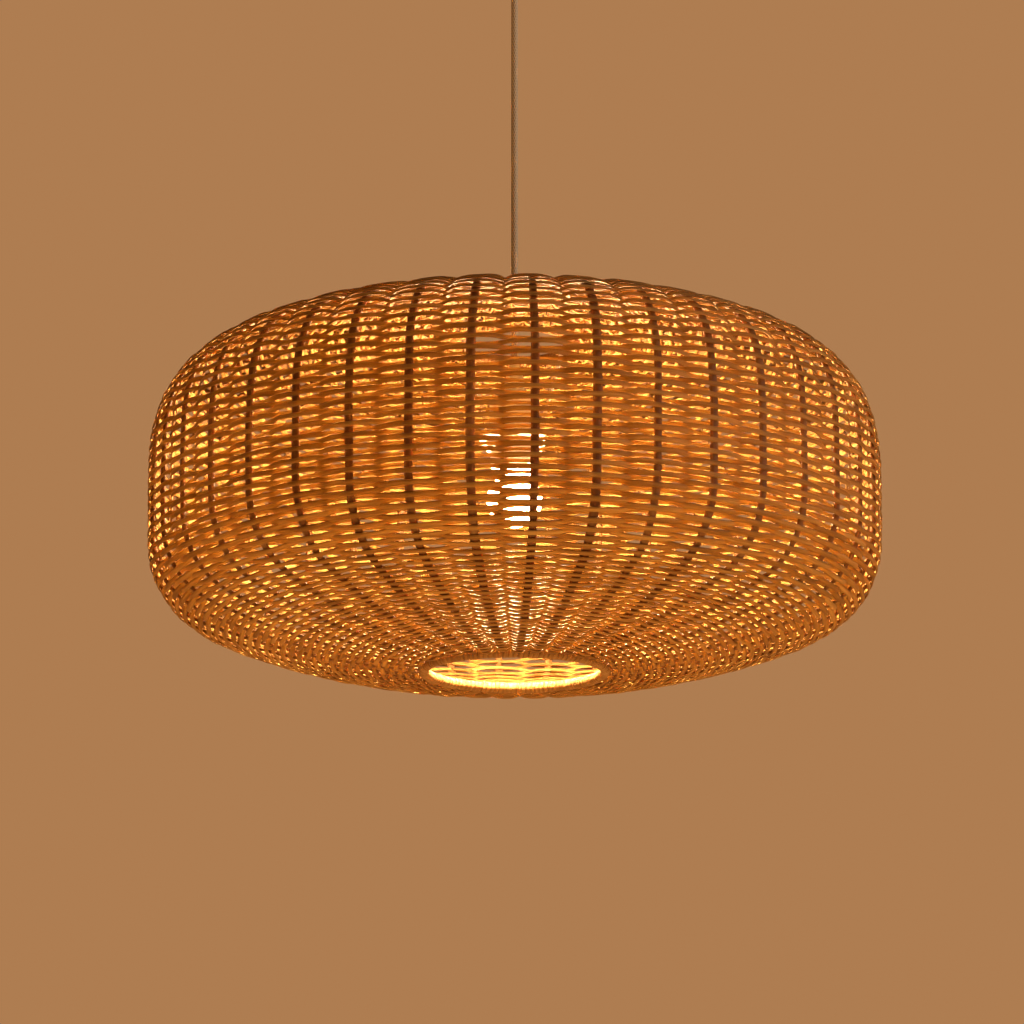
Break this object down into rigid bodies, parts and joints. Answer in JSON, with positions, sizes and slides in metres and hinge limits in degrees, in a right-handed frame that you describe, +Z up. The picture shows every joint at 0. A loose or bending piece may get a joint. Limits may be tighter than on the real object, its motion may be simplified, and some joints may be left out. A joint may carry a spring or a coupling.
{
  "type": "pendant ceiling light",
  "caption": "Pendant light with a wide, flattened basket-woven shade on upright stakes, hung on a round flex from a ceiling rose, with a frosted screw-cap bulb.",
  "frame": {"origin": "centre of the two ceiling screw holes, on the ceiling plane", "axes": "+Z up into the ceiling, along the light's own axis; +X along the bracket, through both ceiling screws"},
  "size_m": [0.6, 0.6, 0.6818],
  "materials": {
    "zinc_steel": "zinc plated",
    "canopy_paint": "satin cream",
    "brass": "satin",
    "ivory_plastic": "matte",
    "white_plastic": "satin moulded",
    "brown_insulation": "satin",
    "blue_insulation": "satin",
    "nylon": "satin",
    "flex_jacket": "braided, matt",
    "ceramic": "unglazed",
    "carrier_paint": "powder coated",
    "binding_cane": "natural, matt",
    "stake_cane": "natural, matt",
    "woven_strand": "natural, matt",
    "solder": "dull",
    "lamp_cap_metal": "satin",
    "black_glass": "gloss",
    "frosted_glass": "frosted",
    "clear_glass": "clear",
    "filament_phosphor": "phosphor coat"
  },
  "bodies": {
    "ceiling_rose": {"ceiling_bracket": "zinc_steel", "canopy_cover": "canopy_paint", "canopy_screws": "brass", "terminal_block": "ivory_plastic", "terminal_sleeves": "brass", "terminal_screws": "zinc_steel", "block_screw": "zinc_steel", "swivel_seat": "white_plastic", "seat_nut": "white_plastic", "live_wire": "brown_insulation", "neutral_wire": "blue_insulation"},
    "swivel": {"swivel_ball": "nylon"},
    "pendant": {"cord_clamp": "brass", "clamp_screw": "zinc_steel", "flex_cord": "flex_jacket", "strain_sleeve": "white_plastic", "gland_body": "white_plastic", "gland_nut": "white_plastic", "gland_locknut": "zinc_steel", "lampholder_cap": "white_plastic", "lampholder_skirt": "white_plastic", "holder_core": "ceramic", "screw_shell": "brass", "centre_contact": "brass", "core_screws": "zinc_steel", "lamp_live_wire": "brown_insulation", "lamp_neutral_wire": "blue_insulation", "carrier_frame": "carrier_paint", "bottom_ring": "carrier_paint", "top_binding": "binding_cane", "bottom_binding": "binding_cane", "stakes": "stake_cane", "weave_crown": "woven_strand", "weave_shoulder": "woven_strand", "weave_wall": "woven_strand", "weave_turn": "woven_strand", "weave_bowl": "woven_strand", "weave_inner": "woven_strand"},
    "ring_washer": {"fitter_washer": "zinc_steel"},
    "fitter_ring": {"shade_ring": "white_plastic"},
    "lamp_tip": {"bulb_tip": "solder"},
    "lamp": {"bulb_cap": "lamp_cap_metal", "bulb_insulator": "black_glass", "bulb_glass": "frosted_glass", "bulb_stem": "clear_glass", "bulb_filaments": "filament_phosphor"}
  },
  "joints": [
    {"name": "sway_x", "type": "hinge", "parent": "ceiling_rose", "child": "swivel", "pos_m": [0, 0, -0.044], "axis": [1, 0, 0], "range_deg": [-10, 10]},
    {"name": "sway_y", "type": "hinge", "parent": "swivel", "child": "pendant", "pos_m": [0, 0, -0.044], "axis": [0, 1, 0], "range_deg": [-10, 10]},
    {"name": "ring_travel", "type": "slide", "parent": "pendant", "child": "ring_washer", "axis": [0, 0, 1], "range_m": [-0.015, 0]},
    {"name": "ring_turn", "type": "hinge", "parent": "ring_washer", "child": "fitter_ring", "pos_m": [0, 0, -0.486], "axis": [0, 0, 1], "range_deg": [-2160, 0]},
    {"name": "bulb_travel", "type": "slide", "parent": "pendant", "child": "lamp_tip", "axis": [0, 0, 1], "range_m": [-0.01452, 0]},
    {"name": "bulb_turn", "type": "hinge", "parent": "lamp_tip", "child": "lamp", "pos_m": [0, 0, -0.52], "axis": [0, 0, 1], "range_deg": [-1440, 0]}
  ],
  "couplings": [
    {"joint": "ring_travel", "follows": "ring_turn", "m_per_rad": 0.00039789},
    {"joint": "bulb_travel", "follows": "bulb_turn", "m_per_rad": 0.00057757}
  ]
}
